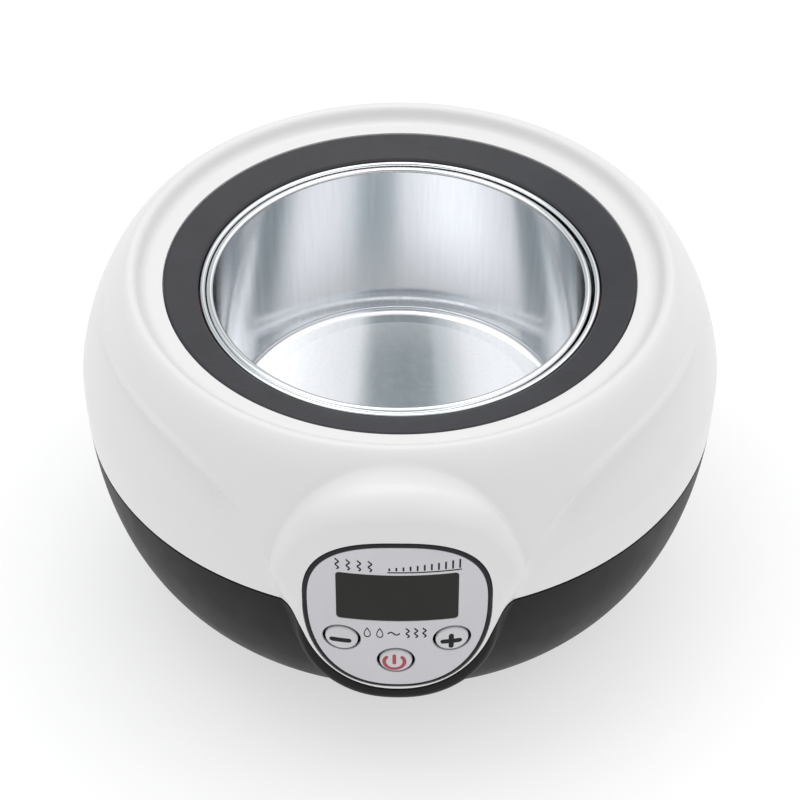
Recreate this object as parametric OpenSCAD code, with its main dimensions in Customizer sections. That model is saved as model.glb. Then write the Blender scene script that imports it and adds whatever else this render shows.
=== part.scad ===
// Digital wax warmer: a squat round two-tone housing with a control panel at
// the front, a heated aluminium well in the middle and a loose wax pot in it.
// Frame: origin on the table plane under the body axis, +Z up, the control
// panel towards -Y, the cord gland towards +Y. Millimetres.

/* [Body] */
// Radius of the body at its widest
body_r = 98; // [97:0.5:99]
// Height of the widest line above the table
widest_z = 80.3; // [79:0.1:82]
// Height of the top rim above the table
body_h = 115.7; // [114.8:0.1:117]
// Radius of the flat underside
base_r = 54; // [53.5:0.5:56]
// Radius of the crest of the top rim
rim_r = 81.8; // [81.4:0.2:82.4]
// Height of the parting line between the white and the black shell
seam_z = 65; // [63:0.5:67]
// Wall thickness of both shells
wall = 2.4; // [2:0.1:2.6]
// Depth of the pressed crescents on the shoulders
crescent_d = 1.3; // [0.6:0.1:1.4]

/* [Control panel] */
// Radius of the panel's curved face about the body axis
panel_r = 100.6; // [100.2:0.1:101]
// Half width of the silver face
face_w = 26.1; // [25:0.1:26.5]
// Height of the face's widest line above the table
face_z = 71; // [70:0.5:72]
// Height of the face above its widest line
face_up = 24; // [23:0.1:24.2]
// Depth of the face below its widest line
face_dn = 32.5; // [32:0.1:33]
// Width of the dark border around the face
border = 1.25; // [1:0.05:1.4]
// Width of the display window
window_w = 34.8; // [32:0.2:35]
// Height of the display window
window_h = 18.7; // [15:0.1:18.8]

/* [Buttons] */
// Width of a button cap
button_d = 9.4; // [9:0.1:9.6]
// Sideways distance of the minus and plus buttons from the middle
button_x = 15.85; // [15.5:0.05:16.2]
// Height of the minus and plus buttons
button_z = 57.2; // [56.8:0.1:57.4]
// Height of the power button
power_z = 49; // [48.6:0.1:49.4]
// Gap around a button cap
button_gap = 0.85; // [0.6:0.05:0.9]

/* [Well and pot] */
// Outer radius of the well's rolled rim
well_r = 60.7; // [60.6:0.05:60.8]
// Top of the well's rolled rim above the table
well_top = 108.2; // [108:0.1:108.4]
// Inner radius of the pot at its mouth
pot_r = 56.05; // [55.8:0.05:56.1]
// Inner radius of the pot at its bottom crease
pot_r2 = 54; // [53:0.1:54.2]
// Sheet thickness of the pot
pot_t = 0.7; // [0.6:0.05:0.75]
// Sheet thickness of the well
well_t = 0.8; // [0.7:0.05:0.9]
// Height of the well's floor above the table
floor_z = 49.4; // [49:0.1:49.6]

/* [Base] */
// Height of the rubber feet below the underside
foot_h = 4; // [4:0.1:4.2]
// Radius of the circle that the feet stand on
foot_pcd_r = 38; // [36:0.5:39]
// Radius of the cord hole in the gland
cord_r = 3.4; // [3:0.1:3.6]
// Height of the cord gland above the table
gland_z = 30; // [29:0.5:31]

/* [Hidden] */
$fn = 96;

nu = 1.45;                          // fullness of the shoulder
nl = 2.3;                           // fullness of the bowl
n_up = 2.4;                         // squareness of the panel's top
n_dn = 2.4;                         // squareness of the panel's bottom
pod_a = 13.5;                       // how far the nose falls back
lip = 1.7;                          // flat margin around the panel
window_z = 74.65;                   // height of the window's middle
shell_gap = 0.3;                    // visible parting gap
open_w = face_w + border + 0.15;    // half width of the opening in the shell
open_up = face_up + 1.9;
open_dn = face_dn + 0.95;
case_r = 72;                        // circle of the case screws

function sq(x) = x * x;
function clamp1(x) = max(0, min(1, x));
function sstep(a, b, x) = let (t = clamp1((x - a) / (b - a))) t * t * (3 - 2 * t);
function mix(a, b, t) = a + (b - a) * t;
function smax(a, b, k) = let (h = clamp1(0.5 + 0.5 * (a - b) / k)) b + (a - b) * h + k * h * (1 - h);
function wrap(t) = t > 180 ? t - 360 : t;
function arc(t) = abs(wrap(t)) * PI / 180 * panel_r;   // distance along the front from the middle
function cyl(r, t, z) = [r * sin(t), -r * cos(t), z];

// plain profile of the body: two quarter super-ellipses joined at the widest line
function profile(z) = z > widest_z
    ? rim_r + (body_r - rim_r) * pow(max(0, 1 - pow(clamp1((z - widest_z) / (body_h - widest_z)), nu)), 1 / nu)
    : base_r + (body_r - base_r) * pow(max(0, 1 - pow(clamp1((widest_z - z) / (widest_z - foot_h)), nl)), 1 / nl);

// distance outside the outline of the panel's face
function gauge(u, z) = z > face_z
    ? pow(pow(u / face_w, n_up) + pow((z - face_z) / face_up, n_up), 1 / n_up)
    : pow(pow(u / face_w, n_dn) + pow((face_z - z) / face_dn, n_dn), 1 / n_dn);
function outside(u, z) = let (g = gauge(u, z)) g <= 1 ? 0 : norm([u, z - face_z]) * (1 - 1 / g);

// the nose around the panel: full on top, soft at the sides, sharp underneath
function pod(u, z) = let (
    s = (z - face_z) / max(0.01, norm([u, z - face_z])),
    b = mix(mix(11, 13, sstep(0.3, 0.9, s)), 6.5, sstep(0.02, 0.42, -s)),
    x = (max(0, outside(u, z) - (s < 0 ? mix(lip, 4.4, sstep(0.1, 0.8, -s)) : lip))) / b)
    panel_r - (x < 1 ? pod_a * (1 - sqrt(1 - x * x)) : pod_a + 60 * (x - 1));

// crease line that runs from beside the panel round each shoulder, and the
// hollow crescent pressed in below it
function crease_z(t) = let (a = abs(wrap(t)))
    87.5 + 17.5 * (1 - exp(-(a - 25) / 9)) + 0.0012 * sq(max(0, a - 60));
function crescent(t, z) = let (a = abs(wrap(t)), w = sstep(21, 34, a) * (1 - sstep(80, 98, a)), d = crease_z(t) - z)
    w * (crescent_d * sstep(0.4, 3.5, d) * (1 - sstep(4, 13, d)) - 0.65 * sstep(-1.5, 0, d) * (1 - sstep(0, 2.6, d)));

function skin(t, z) = let (u = arc(t))
    smax(profile(z), pod(u, z), 3 + 11 * sstep(2, 10, outside(u, z)) * sstep(65, 79, z)) - crescent(t, z);

// height of the parting line: level round the body, dipping under the panel
function seam(t) = let (u = arc(t),
    o = face_z - (face_dn + 2.05) * pow(max(0, 1 - pow(min(1, u / 29.4), 2.2)), 1 / 2.2),
    f = seam_z - 0.504 * pow(max(0, 32.8 - u), 1.71),
    w = sstep(26.5, 29, u))
    mix(o, f, w);

// lower and upper edge of the panel opening, and the grid rows that continue
// them round the body
function edge_lo(t) = let (u = arc(t), e = face_z - open_dn * pow(1 - pow(1 / 1.003, n_dn), 1 / n_dn))
    u <= open_w + 0.001 ? face_z - open_dn * pow(1 - pow(u / (open_w * 1.003), n_dn), 1 / n_dn)
        : mix(e, 72, sstep(open_w, open_w + 10, u));
function edge_hi(t) = let (u = arc(t), e = face_z + open_up * pow(1 - pow(1 / 1.003, n_up), 1 / n_up))
    u <= open_w + 0.001 ? face_z + open_up * pow(1 - pow(u / (open_w * 1.003), n_up), 1 / n_up)
        : mix(e, 82, sstep(open_w, open_w + 14, u));

// columns of the shells' grid: close together beside the panel, wide behind
t_open = open_w / panel_r * 180 / PI;
half_cols = concat([for (k = [0:9]) t_open * (1 - pow(1 - k / 10, 1.6))], [t_open],
    [for (k = [1:9]) t_open + 6 * pow(k / 9, 1.5)], [for (k = [1:23]) let (a = t_open + 6)
    a + (180 - a) * pow(k / 23, 1.08)]);
n_half = len(half_cols);
cols = concat(half_cols, [for (k = [n_half - 2:-1:1]) 360 - half_cols[k]]);
NC = len(cols);
c_open = 10;                        // last column of the opening on each side

n_a = 2; n_b = 5; n_c = 11;         // grid rows below, beside and above the panel
n_out = n_a + n_b + n_c + 1;
function row_z(t, j) = let (s = seam(t), l = edge_lo(t), h = edge_hi(t))
    j <= n_a ? mix(s, l, j / n_a)
    : j <= n_a + n_b ? mix(l, h, (j - n_a) / n_b)
    : mix(h, body_h, 1 - pow(1 - (j - n_a - n_b) / n_c, 1.8));
// point pushed inwards from the skin, square to its profile
function inset(t, z, d) = let (s = (skin(t, z + 0.3) - skin(t, z - 0.3)) / 0.6, k = sqrt(1 + s * s))
    [skin(t, z) - d / k, z + d * s / k];

tongue = 1.2;
function tongue_h(t) = min(3, 0.42 * (edge_lo(t) - seam(t)));
ring_r = 71.3;                      // outer radius of the dark ring
flat_z = 111.2;                     // white flat around the ring
n_in = n_a + n_b + 5;               // highest grid row with an inner copy

function upper_loop(t) = concat(
    [for (j = [0:n_out - 1]) let (z = row_z(t, j)) [skin(t, min(z, body_h)), z]],
    [[rim_r - 1.8, body_h - 0.5], [rim_r - 3, body_h - 1.9], [rim_r - 4.2, flat_z + 1],
     [rim_r - 6.8, flat_z], [ring_r + 0.3, flat_z], [ring_r + 0.3, 109], [68, 109], [68, 106.6],
     [73.5, 106.6], [74.5, 108.6], [81, 108.4], [84, 107.2]],
    [for (j = [n_in:-1:1]) inset(t, row_z(t, j), wall)],
    [let (s = seam(t), p = inset(t, s + tongue_h(t), wall)) [p[0], s + tongue_h(t)]],
    [let (s = seam(t)) [skin(t, s) - tongue, s + tongue_h(t)]],
    [let (s = seam(t)) [skin(t, s) - tongue, s]]);
n_rim = 12;
NU = n_out + n_rim + n_in + 3;
function in_row(j) = n_out + n_rim + n_in - j;   // loop index of the inner copy of row j

function quad(a, b, c, d) = [[a, b, c], [a, c, d]];
function is_open(i, j) = let (c = i < c_open || i >= NC - c_open)
    c && ((j >= n_a && j < n_a + n_b) || (j >= in_row(n_a + n_b) && j < in_row(n_a)));

module loop_shell(loops, n, holed) {
    pts = [for (i = [0:NC - 1]) each [for (p = loops[i]) cyl(p[0], cols[i], p[1])]];
    grid = [for (i = [0:NC - 1]) for (j = [0:n - 1]) if (!(holed && is_open(i, j)))
        let (i2 = (i + 1) % NC, j2 = (j + 1) % n)
        each quad(i * n + j, i * n + j2, i2 * n + j2, i2 * n + j)];
    ic = [for (k = [-c_open:c_open]) (k + NC) % NC];
    lo = n_a; hi = n_a + n_b;
    wallsf = holed ? concat(
        [for (k = [0:2 * c_open - 1]) each quad(ic[k + 1] * n + lo, ic[k] * n + lo, ic[k] * n + in_row(lo), ic[k + 1] * n + in_row(lo))],
        [for (k = [0:2 * c_open - 1]) each quad(ic[k] * n + hi, ic[k + 1] * n + hi, ic[k + 1] * n + in_row(hi), ic[k] * n + in_row(hi))],
        [for (j = [lo:hi - 1]) each quad(ic[0] * n + j, ic[0] * n + j + 1, ic[0] * n + in_row(j + 1), ic[0] * n + in_row(j))],
        [for (j = [lo:hi - 1]) each quad(ic[2 * c_open] * n + j + 1, ic[2 * c_open] * n + j, ic[2 * c_open] * n + in_row(j), ic[2 * c_open] * n + in_row(j + 1))])
        : [];
    polyhedron(points = pts, faces = concat(grid, wallsf), convexity = 10);
}

// a solid of the plain bowl, set in from its skin, that trims inner bosses
module bowl_core(d) {
    rotate_extrude() polygon(concat([[0, foot_h + d]], [for (k = [0:20]) let (z = foot_h + (seam_z - foot_h) * pow(k / 20, 1.8))
        [profile(z) - d, z + d * (1 - pow(k / 20, 0.7))]], [[0, seam_z]]));
}

module case_posts(z0, z1, r) for (a = [45:90:315]) rotate([0, 0, a]) translate([case_r, 0, z0]) cylinder(r = r, h = z1 - z0);

// the four small screws that hold the base plate to the lower shell
module base_holes(r, h, z = 0) for (a = [0:90:270]) rotate([0, 0, a]) translate([46.6, 0, z]) cylinder(r = r, h = h, $fn = 32);

module upper_shell() color([0.93, 0.92, 0.92]) {
    difference() {
        union() {
            loop_shell([for (t = cols) upper_loop(t)], NU, true);
            case_posts(62, 107.5, 4.2);
            for (s = [-1, 1]) translate([s * 74, 0, 44]) cylinder(r = 4.2, h = 63.5);
        }
        case_posts(61, 78, 1.25);
        for (s = [-1, 1]) translate([s * 74, 0, 43]) cylinder(r = 1.25, h = 15);
    }
}

n_low = 15;
function low_z(t, j) = foot_h + (seam(t) - shell_gap - foot_h) * pow(j / (n_low - 1), 1.7);
function lower_loop(t) = let (s = seam(t) - shell_gap, e = skin(t, seam(t)), h = tongue_h(t) - 0.15) concat(
    [for (j = [0:n_low - 1]) let (z = low_z(t, j)) [j == 0 ? base_r : skin(t, z), z]],
    [[e - tongue - 0.1, s], [e - tongue - 0.1, s + h], [e - wall - 0.05, s + h]],
    [for (j = [n_low - 1:-1:4]) inset(t, low_z(t, j), wall)],
    [[64, 8.6], [43, 8.6], [43, foot_h + 2.6], [50.4, foot_h + 2.6], [50.4, foot_h]]);
NL = n_low + 3 + (n_low - 4) + 5;

module lower_shell() color([0.2, 0.2, 0.21]) {
    difference() {
        union() {
            loop_shell([for (t = cols) lower_loop(t)], NL, false);
            intersection() { case_posts(5, 61.8, 4.8); bowl_core(1.3); }
            translate([0, 80, gland_z]) rotate([-90, 0, 0]) cylinder(r = 10.5, h = 14);
        }
        case_posts(-1, 50, 3.3);
        case_posts(40, 63, 1.7);
        base_holes(1.05, 7, 5.5);
        translate([0, 70, gland_z]) rotate([-90, 0, 0]) cylinder(r = 6.3, h = 40);
    }
}

// ---- base -------------------------------------------------------------
plate_z = foot_h + 2.5;
post_x = 34;
post_y = 19;
board_z = 16;
module at_posts(z) for (x = [-post_x, post_x], y = [-post_y, post_y]) translate([x, y, z]) children();
module at_feet(z) for (a = [45:90:315]) rotate([0, 0, a]) translate([foot_pcd_r, 0, z]) children();

module base_plate() color([0.17, 0.17, 0.18]) difference() {
    union() {
        translate([0, 0, foot_h]) cylinder(r = 50.2, h = 2.5, $fn = 128);
        at_posts(plate_z - 1) cylinder(r = 3, h = board_z - plate_z + 1);
    }
    for (k = [-3:3]) translate([k * 6 - 1.4, -11, 0]) cube([2.8, 22, 10]);
    at_feet(0) cylinder(r = 3, h = 10);
    at_posts(plate_z + 1) cylinder(r = 1.4, h = 12, $fn = 32);
    base_holes(1.5, 10);
    base_holes(2.6, foot_h + 1, 0);
}

module base_screws() color([0.72, 0.72, 0.74]) {
    base_holes(2.4, 1.3, foot_h - 0.4 + 0.1);
    base_holes(1.0, 6.4, foot_h + 0.5);
}

// soft foot with a snap stem through the base plate
module rubber_feet() color([0.1, 0.1, 0.1]) at_feet(0) rotate_extrude(convexity = 4)
    polygon([[0, 0], [6.2, 0], [6.8, 0.6], [7.4, foot_h - 0.05], [2.9, foot_h - 0.05], [2.9, plate_z + 0.1],
        [3.7, plate_z + 0.1], [3.2, plate_z + 1.8], [0, plate_z + 1.8]]);

module case_screws() color([0.72, 0.72, 0.74]) {
    difference() {
        case_posts(47.1, 49.95, 2.9);
        for (a = [45:90:315]) rotate([0, 0, a]) translate([case_r, 0, 46]) {
            translate([-2, -0.4, 0]) cube([4, 0.8, 2.4]);
            translate([-0.4, -2, 0]) cube([0.8, 4, 2.4]);
        }
    }
    case_posts(49.9, 68, 1.2);
}

// ---- cord gland at the back ---------------------------------------------
module behind(y) translate([0, y, gland_z]) rotate([-90, 0, 0]) children();
module cord_gland() color([0.12, 0.12, 0.12]) difference() {
    union() {
        behind(76) cylinder(r = 6.2, h = 18.2);
        behind(94.05) cylinder(r = 9, h = 2.4);
        behind(96) cylinder(r1 = 7, r2 = 5.2, h = panel_r + 0.5 - 96);
    }
    behind(70) cylinder(r = cord_r, h = 40);
}
module gland_nut() color([0.15, 0.15, 0.15]) difference() {
    behind(76.6) cylinder(r = 9.4, h = 3.3, $fn = 6);
    behind(76) cylinder(r = 6.25, h = 5);
}

// ---- ring, well and pot -------------------------------------------------
module top_ring() color([0.3, 0.3, 0.32]) rotate_extrude(convexity = 4, $fn = 160)
    polygon([[58.8, 103.9], [58.8, 104.9], [61, 104.9], [61, 107.9], [61.6, 108.45], [70.7, flat_z + 0.05],
        [ring_r, flat_z - 0.4], [ring_r, 109.05], [67.6, 109.05], [67.6, 103], [66, 103], [66, 106.9],
        [62.6, 105.9], [62.6, 103.9]]);

bead = 0.9;
module heater_well() color([0.82, 0.84, 0.86]) {
    rotate_extrude(convexity = 6, $fn = 160) {
        polygon([[0, floor_z - well_t], [54.9, floor_z - well_t], [58.4, 52.1], [58.4, 104.5], [59.6, 106.6],
            [59, 107], [58.4 - well_t, 104.2], [58.4 - well_t, 52.5], [54.5, floor_z], [0, floor_z]]);
        translate([well_r - bead, well_top - bead]) circle(r = bead, $fn = 32);
    }
    translate([0, 0, 34]) cylinder(r = 2, h = floor_z - 34.2, $fn = 32);
}
module well_seal() color([0.55, 0.2, 0.15]) rotate_extrude(convexity = 4) translate([59.3, 104.95]) square([1.6, 0.75]);

// loose pot: stands on the well's floor, a little off centre as it was dropped in
pot_shift = [-0.3, -0.3, 0];
pot_bead = 1.15;
module wax_pot() color([0.85, 0.87, 0.89]) translate(pot_shift) rotate_extrude(convexity = 6, $fn = 160) {
    polygon([[0, floor_z + 0.05], [43.7, floor_z + 0.05], [52.2, 50.65], [54, 51.3], [54.75, 52.4], [pot_r2 + pot_t + 0.15, 54.2],
        [pot_r + pot_t, 105.6], [pot_r + pot_t, 106.8], [pot_r, 106.8], [pot_r2 + 0.1, 54.1], [pot_r2 - 0.1, 52.7], [pot_r2 - 0.8, 51.8],
        [52.1, 51.4], [43.5, floor_z + 0.8], [0, floor_z + 0.8]]);
    translate([pot_r + pot_bead, 107.05]) circle(r = pot_bead, $fn = 32);
}

// ---- heating under and round the well -----------------------------------
module open_ring(r0, r1, z0, z1, gap) rotate([0, 0, 90 + gap / 2]) rotate_extrude(angle = 360 - gap, convexity = 4)
    translate([r0, z0]) square([r1 - r0, z1 - z0]);
module heater_band() color([0.76, 0.68, 0.5]) open_ring(58.55, 59.9, 58, 96, 8);
module band_clamp() color([0.7, 0.7, 0.72]) {
    difference() {
        for (s = [-1, 1]) translate([s * 3.2 - 0.6, 58.7, 64]) cube([1.2, 6, 26]);
        for (z = [70, 84]) translate([-10, 62.5, z]) rotate([0, 90, 0]) cylinder(r = 1.6, h = 20, $fn = 32);
    }
    for (z = [70, 84]) translate([0, 62.5, z]) rotate([0, 90, 0]) {
        translate([0, 0, -6]) cylinder(r = 1.5, h = 12, $fn = 32);
        translate([0, 0, -6.4]) cylinder(r = 2.6, h = 2.4, $fn = 6);
    }
}
module insulation_sleeve() color([0.9, 0.88, 0.8]) open_ring(60.1, 64.6, 54, 99, 40);
module heat_shield() color([0.75, 0.76, 0.78]) { open_ring(64.9, 65.5, 47, 102.8, 30); open_ring(65.3, 67.4, 102.2, 102.8, 30); }
module heater_plate() color([0.72, 0.72, 0.7]) difference() {
    translate([0, 0, 46.6]) cylinder(r = 50, h = 1.9, $fn = 128);
    translate([0, 0, 40]) cylinder(r = 2.6, h = 20, $fn = 32);
    translate([0, -22, 40]) cylinder(r = 3.2, h = 20, $fn = 32);
}
module base_insulation() color([0.9, 0.88, 0.8]) difference() {
    translate([0, 0, 44]) cylinder(r = 54, h = 2.5, $fn = 128);
    translate([0, 0, 40]) cylinder(r = 2.6, h = 20, $fn = 32);
    translate([0, -22, 40]) cylinder(r = 3.2, h = 20, $fn = 32);
    translate([-7.5, 21, 43]) cube([15, 6, 5]);
}
module temp_sensor() color([0.8, 0.8, 0.82]) translate([0, -22, 0]) {
    translate([0, 0, 43]) cylinder(r = 2.6, h = 5.55, $fn = 48);
    translate([0, 0, 42.2]) cylinder(r = 4.4, h = 1.2, $fn = 48);
}
module thermal_fuse() color([0.85, 0.83, 0.75]) translate([0, 24, 44.4]) rotate([0, 90, 0]) {
    translate([0, 0, -5.5]) cylinder(r = 1.9, h = 11, $fn = 32);
    translate([0, 0, -7]) cylinder(r = 0.5, h = 14, $fn = 24);
}
module well_bracket() color([0.7, 0.71, 0.73]) difference() {
    union() {
        translate([-72, -9, 42.4]) cube([144, 18, 1.5]);
        for (s = [-1, 1]) translate([s * 72, 0, 42.4]) cylinder(r = 9, h = 1.5);
    }
    translate([0, 0, 40]) cylinder(r = 2.3, h = 10, $fn = 32);
    for (s = [-1, 1]) translate([s * 74, 0, 40]) cylinder(r = 1.6, h = 10, $fn = 32);
    for (s = [-1, 1], k = [0:2]) translate([s * (24 + 14 * k), 0, 40]) cylinder(r = 3, h = 10, $fn = 32);
}
module bracket_screws() color([0.72, 0.72, 0.74]) for (s = [-1, 1]) translate([s * 74, 0, 0]) {
    translate([0, 0, 39.7]) cylinder(r1 = 2.4, r2 = 2.9, h = 2.65);
    translate([0, 0, 42.3]) cylinder(r = 1.2, h = 12, $fn = 32);
}
module stud_nut() color([0.72, 0.72, 0.74]) difference() {
    union() {
        translate([0, 0, 38.9]) cylinder(r = 4.04, h = 2.9, $fn = 6);
        translate([0, 0, 41.5]) cylinder(r = 4.6, h = 0.85);
    }
    translate([0, 0, 38]) cylinder(r = 2.05, h = 6, $fn = 32);
}

// ---- control panel ------------------------------------------------------
// outline of the face in the front view, grown by w at the sides, up and dn
function outline(w, up, dn) = [for (k = [0:71]) let (a = k * 5, c = cos(a), s = sin(a), n = s > 0 ? n_up : n_dn,
    g = pow(pow(abs(c), n) + pow(abs(s), n), -1 / n), u = (face_w + w) * c * g)
    [panel_r * sin(u / panel_r * 180 / PI), face_z + s * g * (s > 0 ? face_up + up : face_dn + dn)]];
module front_prism() translate([0, -78, 0]) rotate([90, 0, 0]) linear_extrude(height = 32, convexity = 4) children();
module face_prism(w, up, dn) front_prism() polygon(outline(w, up, dn));
module drum(r0, r1) rotate_extrude(convexity = 4, $fn = 180) translate([r0, 30]) square([r1 - r0, 74]);
module window_prism(d) front_prism() translate([0, window_z]) {
    for (q = [[1, 0], [0, 1]]) square([window_w - 2 * d - 2.4 * q[0], window_h - 2 * d - 2.4 * q[1]], center = true);
    for (sx = [-1, 1], sy = [-1, 1]) translate([sx * (window_w / 2 - d - 1.2), sy * (window_h / 2 - d - 1.2)]) circle(r = 1.2, $fn = 32);
}
keys = [[-button_x - 0.15, button_z], [button_x - 0.15, button_z], [-0.4, power_z]];
module at_key(k, y) translate([keys[k][0], y, keys[k][1]]) rotate([90, 0, 0]) children();
// slightly flattened round bar, as the keys and their holes are
module oval(r, h) linear_extrude(height = h) polygon([for (k = [0:71]) [r * cos(k * 5), 0.93 * r * sin(k * 5)]]);
posts = [[-23.6, face_z], [23.6, face_z], [0, 92.2], [0, 40.4]];
module at_panel_posts(y) for (p = posts) translate([p[0], y, p[1]]) rotate([90, 0, 0]) children();
pcb_y = -90;

module panel_frame() color([0.16, 0.16, 0.17]) difference() {
    union() {
        difference() {
            union() {
                intersection() { drum(99.5, panel_r); face_prism(border - 0.2, border + 0.4, border - 0.5); }
                intersection() { drum(97.2, 99.6); face_prism(border - 0.95, border + 0.4, border - 0.5); }
            }
            intersection() { drum(99.45, panel_r + 4); face_prism(0.05, 0.05, 0.05); }
            face_prism(-1.2, -1.2, -1.2);
        }
        for (p = posts) translate([p[0], pcb_y - 1.65, p[1]]) rotate([90, 0, 0]) cylinder(r = 1.9, h = p[0] == 0 ? 6.6 : 4.2);
    }
    at_panel_posts(-90) cylinder(r = 0.9, h = 5.4, $fn = 32);
}
module panel_face() color([0.75, 0.74, 0.77]) difference() {
    intersection() { drum(99.5, panel_r - 0.05); face_prism(-0.05, -0.05, -0.05); }
    window_prism(0);
    for (k = [0:2]) at_key(k, -90) oval(button_d / 2 + button_gap, 16);
}
module display_window() color([0.12, 0.12, 0.1, 0.9]) intersection() { drum(99.35, panel_r - 0.2); window_prism(0.06); }

cap_y = -95.7;
module key_cap(k) color([0.76, 0.75, 0.78]) {
    intersection() {
        at_key(k, cap_y) oval(button_d / 2, 10);
        translate([0, 0, 30]) cylinder(r = panel_r + 0.5, h = 74, $fn = 180);
    }
    at_key(k, cap_y) oval(button_d / 2 + button_gap + 0.4, 0.9);
}
module key_plunger(k) color([0.25, 0.25, 0.25]) at_key(k, -93.4) cylinder(r = 1.75, h = 2.3, $fn = 48);
module minus_button() key_cap(0);
module plus_button() key_cap(1);
module power_button() key_cap(2);
module minus_plunger() key_plunger(0);
module plus_plunger() key_plunger(1);
module power_plunger() key_plunger(2);
module switch_housings() color([0.18, 0.18, 0.18]) difference() {
    for (k = [0:2]) at_key(k, -91.65) translate([-3.1, -3.1, 0]) cube([6.2, 6.2, 2.95]);
    for (k = [0:2]) at_key(k, -92.4) cylinder(r = 1.8, h = 5, $fn = 48);
}
module lcd_module() color([0.35, 0.38, 0.33]) difference() {
    translate([-20, -96.2, 64]) cube([40, 4.55, 21]);
    translate([-17.6, -97, 65.1]) cube([35.2, 1.3, 19]);
}
module display_board() color([0.1, 0.38, 0.2]) difference() {
    translate([0, pcb_y, 0]) rotate([90, 0, 0]) linear_extrude(height = 1.6) polygon(outline(0.6, 0.4, 0.4));
    at_panel_posts(-89) cylinder(r = 1.1, h = 4, $fn = 32);
}
module display_screws() color([0.72, 0.72, 0.74]) {
    at_panel_posts(pcb_y + 1.25) cylinder(r = 1.9, h = 1.2, $fn = 32);
    at_panel_posts(pcb_y + 0.2) cylinder(r = 0.85, h = 5, $fn = 32);
}

// ---- mains and control board --------------------------------------------
top_z = board_z + 1.65;
module block(x, y, w, d, h) translate([x, y, top_z]) cube([w, d, h]);
module power_board() color([0.12, 0.4, 0.22]) difference() {
    translate([-40, -24, board_z + 0.03]) cube([80, 48, 1.57]);
    at_posts(10) cylinder(r = 1.7, h = 12, $fn = 32);
}
module board_screws() color([0.72, 0.72, 0.74]) {
    at_posts(top_z) cylinder(r = 2.8, h = 1.9);
    at_posts(8.2) cylinder(r = 1.35, h = 10, $fn = 32);
}
module transformer() color([0.55, 0.5, 0.3]) difference() {
    union() { block(-32, -8, 28, 16, 18); block(-27, -12, 18, 24, 14); }
    for (s = [-1, 1]) translate([-27 + 9 - 0.2 + s * 11, -20, top_z + 5]) cube([0.4, 40, 8]);
}
module relay() color([0.15, 0.3, 0.6]) difference() {
    block(2, -22, 19, 15, 15.5);
    translate([4, -20, top_z + 15]) cube([15, 11, 1]);
}
module capacitor() color([0.75, 0.6, 0.15]) difference() {
    block(2, 10, 18, 8, 13);
    translate([3.5, 11.5, top_z + 12.5]) cube([15, 5, 1]);
}
module mains_terminal() color([0.2, 0.5, 0.3]) difference() {
    block(30, -13, 9.5, 21, 12);
    for (k = [0:3]) translate([34.7, -10.4 + 5.2 * k, top_z + 8]) cylinder(r = 1.8, h = 6, $fn = 32);
    for (k = [-1, 1]) translate([34.7 + k * 2.4, 4, top_z + 4]) rotate([-90, 0, 0]) cylinder(r = 1.25, h = 6, $fn = 32);
}
module mains_fuse() color([0.8, 0.8, 0.8]) {
    translate([25, 0, top_z + 4]) rotate([-90, 0, 0]) cylinder(r = 2.4, h = 20, $fn = 48);
    for (y = [1, 15]) difference() {
        translate([21.9, y, top_z]) cube([6.2, 4, 6]);
        translate([25, y - 1, top_z + 4]) rotate([-90, 0, 0]) cylinder(r = 2.4, h = 6, $fn = 48);
    }
}

// ---- internal wiring: round tubes along hand-laid routes ------------------
function unit(v) = v / max(1e-6, norm(v));
// smooth curve through the points p
function spline(p, n) = [for (i = [0:len(p) - 2], k = [0:n - 1]) let (t = k / n,
    a = p[max(0, i - 1)], b = p[i], c = p[i + 1], d = p[min(len(p) - 1, i + 2)])
    0.5 * (2 * b + (c - a) * t + (2 * a - 5 * b + 4 * c - d) * t * t + (3 * b - a - 3 * c + d) * t * t * t), p[len(p) - 1]];
module tube(p, r, n = 4, m = 8) {
    q = spline(p, n);
    L = len(q);
    pts = [for (i = [0:L - 1]) let (d = unit(q[min(L - 1, i + 1)] - q[max(0, i - 1)]),
        u = unit(cross(d, abs(d[0]) < 0.8 ? [1, 0, 0] : [0, 1, 0])), v = cross(d, u))
        for (k = [0:m - 1]) q[i] + r * (u * cos(360 * k / m) + v * sin(360 * k / m))];
    sides = [for (i = [0:L - 2], k = [0:m - 1]) let (k2 = (k + 1) % m)
        each quad(i * m + k, (i + 1) * m + k, (i + 1) * m + k2, i * m + k2)];
    caps = [[for (k = [0:m - 1]) k], [for (k = [m - 1:-1:0]) (L - 1) * m + k]];
    polyhedron(points = pts, faces = concat(sides, caps));
}
module mains_leads() {
    color([0.35, 0.2, 0.1]) tube([[-1.6, 74.5, 30], [-1.6, 65, 29], [14, 54, 25], [28, 38, 22], [32.3, 20, 21.65], [32.3, 8.4, 21.65]], 1.1);
    color([0.15, 0.25, 0.6]) tube([[1.6, 74.5, 30], [1.8, 66, 29.6], [20, 54, 27], [34, 38, 23], [37.1, 20, 21.65], [37.1, 8.4, 21.65]], 1.1);
}
module heater_leads() {
    color([0.85, 0.85, 0.8]) tube([[-37, 8, 18.8], [-44, 30, 22], [-38, 54, 34], [-24, 66, 46], [-12, 68.5, 56], [-8, 61.4, 62]], 1);
    color([0.85, 0.85, 0.8]) tube([[-37, 4, 18.8], [-49, 22, 19], [-46, 42, 26], [-32, 66, 38], [-10, 74, 48], [6, 70, 54], [8, 61.6, 60]], 1);
}
module sensor_leads() color([0.15, 0.15, 0.15]) {
    tube([[0, -22, 42.05], [0, -22, 39.5], [0, -24.6, 34.5], [0, -26.6, 28], [0, -24, 22], [0, -21, 18.7]], 0.9);
}
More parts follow.
